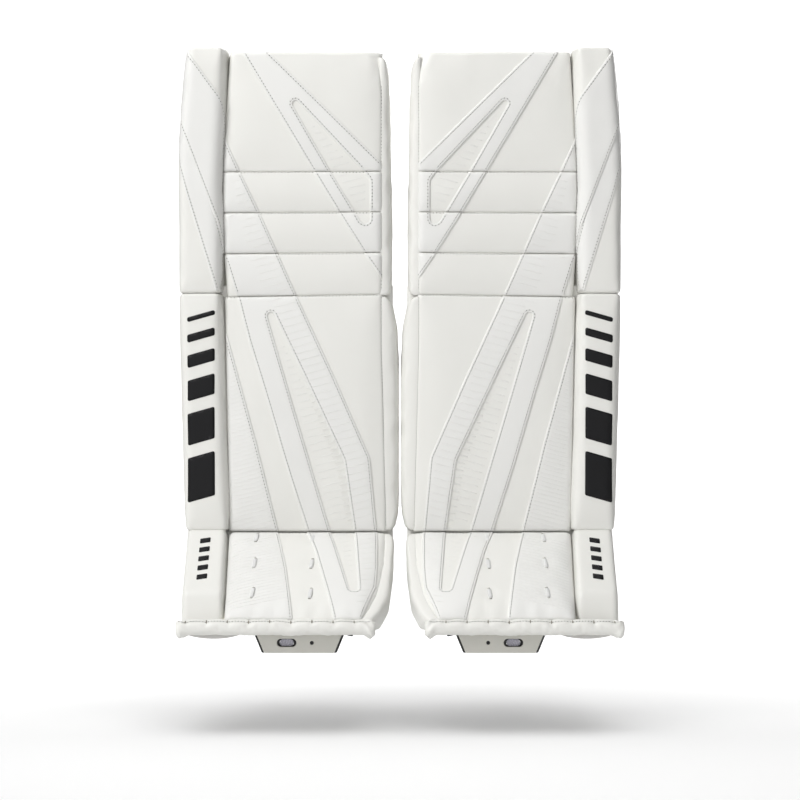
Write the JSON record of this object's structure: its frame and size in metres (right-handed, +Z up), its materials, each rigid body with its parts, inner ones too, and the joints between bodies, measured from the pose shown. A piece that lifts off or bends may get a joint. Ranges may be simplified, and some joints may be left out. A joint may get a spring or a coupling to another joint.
{
  "type": "goalie leg pads",
  "caption": "Pair of hockey goalie leg pads with knee rolls, leaning boot sections, outer rolls, calf wings, knee blocks, straps and swinging toe tabs.",
  "frame": {"origin": "bottom centre of the pair's box, between the two pads, level with the foot of the toe tabs", "axes": "+Z up the pads as worn, -Y out of their fronts, +X towards the wearer's left pad"},
  "size_m": [0.562, 0.3456, 0.752],
  "materials": {
    "leather": "warm white synthetic leather, satin, fine grain",
    "foam": "closed-cell foam board",
    "lining": "charcoal knitted lining over soft foam",
    "webbing": "black woven nylon webbing",
    "elastic": "grey woven webbing",
    "buckle": "black moulded nylon",
    "lace": "white braided lace",
    "tab": "off-white sheet over stiff board",
    "rubber": "black rubber sheet",
    "marking": null,
    "thread": "white bonded thread"
  },
  "bodies": {
    "left_thigh": {"left_thigh_core": "foam", "left_thigh_panel": "leather", "left_knee_roll_top": "leather", "left_knee_roll_middle": "leather", "left_knee_roll_bottom": "leather", "left_outer_roll_upper": "leather", "left_inner_edge_upper": "leather", "left_thigh_back": "lining", "left_knee_block": "leather"},
    "left_knee_wing": {"left_knee_wing": "leather", "left_knee_strap": "webbing"},
    "left_shin": {"left_shin_core": "foam", "left_shin_panel": "leather", "left_outer_roll_middle": "leather", "left_inner_edge_lower": "leather", "left_leg_channel": "lining", "left_calf_wing_inner": "leather"},
    "left_calf_wing": {"left_calf_wing_outer": "leather", "left_calf_straps": "webbing", "left_calf_buckles": "buckle"},
    "left_boot": {"left_boot_panel": "leather", "left_outer_roll_lower": "leather", "left_inner_edge_boot": "leather", "left_toe_roll": "leather", "left_boot_laces": "lace", "left_boot_channel": "lining"},
    "left_boot_strap": {"left_boot_strap": "webbing"},
    "left_toe_tab": {"left_toe_tab": "tab", "left_toe_tab_backing": "rubber", "left_toe_elastic": "elastic"},
    "right_thigh": {"right_thigh_core": "foam", "right_thigh_panel": "leather", "right_knee_roll_top": "leather", "right_knee_roll_middle": "leather", "right_knee_roll_bottom": "leather", "right_outer_roll_upper": "leather", "right_inner_edge_upper": "leather", "right_thigh_back": "lining", "right_knee_block": "leather"},
    "right_knee_wing": {"right_knee_wing": "leather", "right_knee_strap": "webbing"},
    "right_shin": {"right_shin_core": "foam", "right_shin_panel": "leather", "right_outer_roll_middle": "leather", "right_inner_edge_lower": "leather", "right_leg_channel": "lining", "right_calf_wing_inner": "leather"},
    "right_calf_wing": {"right_calf_wing_outer": "leather", "right_calf_straps": "webbing", "right_calf_buckles": "buckle"},
    "right_boot": {"right_boot_panel": "leather", "right_outer_roll_lower": "leather", "right_inner_edge_boot": "leather", "right_toe_roll": "leather", "right_boot_laces": "lace", "right_boot_channel": "lining"},
    "right_boot_strap": {"right_boot_strap": "webbing"},
    "right_toe_tab": {"right_toe_tab": "tab", "right_toe_tab_backing": "rubber", "right_toe_elastic": "elastic"}
  },
  "joints": [
    {"name": "left_thigh_flex", "type": "hinge", "parent": "left_shin", "child": "left_thigh", "pos_m": [0.15, -0.024, 0.441], "axis": [1, 0, 0], "range_deg": [-8, 12], "stiffness_Nm_per_rad": 40},
    {"name": "left_boot_flex", "type": "hinge", "parent": "left_shin", "child": "left_boot", "pos_m": [0.15, -0.024, 0.142], "axis": [1, 0, 0], "range_deg": [-12, 8], "stiffness_Nm_per_rad": 25},
    {"name": "left_knee_wing_open", "type": "hinge", "parent": "left_thigh", "child": "left_knee_wing", "pos_m": [0.263, 0.028, 0.542], "axis": [0, 0, 1], "range_deg": [-80, 0]},
    {"name": "left_calf_wing_open", "type": "hinge", "parent": "left_shin", "child": "left_calf_wing", "pos_m": [0.267, 0.032, 0.29], "axis": [0, 0, 1], "range_deg": [-100, 0]},
    {"name": "left_boot_strap_open", "type": "hinge", "parent": "left_boot", "child": "left_boot_strap", "pos_m": [0.217, 0.017, 0.074], "axis": [0, 0, 1], "range_deg": [-90, 0]},
    {"name": "left_toe_tab_swing", "type": "hinge", "parent": "left_boot", "child": "left_toe_tab", "pos_m": [0.1235, -0.134, 0.0245], "axis": [1, 0, 0], "range_deg": [-75, 30]},
    {"name": "right_thigh_flex", "type": "hinge", "parent": "right_shin", "child": "right_thigh", "pos_m": [-0.15, -0.024, 0.441], "axis": [1, 0, 0], "range_deg": [-8, 12], "stiffness_Nm_per_rad": 40},
    {"name": "right_boot_flex", "type": "hinge", "parent": "right_shin", "child": "right_boot", "pos_m": [-0.15, -0.024, 0.142], "axis": [1, 0, 0], "range_deg": [-12, 8], "stiffness_Nm_per_rad": 25},
    {"name": "right_knee_wing_open", "type": "hinge", "parent": "right_thigh", "child": "right_knee_wing", "pos_m": [-0.263, 0.028, 0.542], "axis": [0, 0, -1], "range_deg": [-80, 0]},
    {"name": "right_calf_wing_open", "type": "hinge", "parent": "right_shin", "child": "right_calf_wing", "pos_m": [-0.267, 0.032, 0.29], "axis": [0, 0, -1], "range_deg": [-100, 0]},
    {"name": "right_boot_strap_open", "type": "hinge", "parent": "right_boot", "child": "right_boot_strap", "pos_m": [-0.217, 0.017, 0.074], "axis": [0, 0, -1], "range_deg": [-90, 0]},
    {"name": "right_toe_tab_swing", "type": "hinge", "parent": "right_boot", "child": "right_toe_tab", "pos_m": [-0.1235, -0.134, 0.0245], "axis": [1, 0, 0], "range_deg": [-75, 30]},
    {"name": "pads_apart", "type": "slide", "parent": "left_shin", "child": "right_shin", "axis": [-1, 0, 0], "range_m": [0, 0.35]}
  ]
}
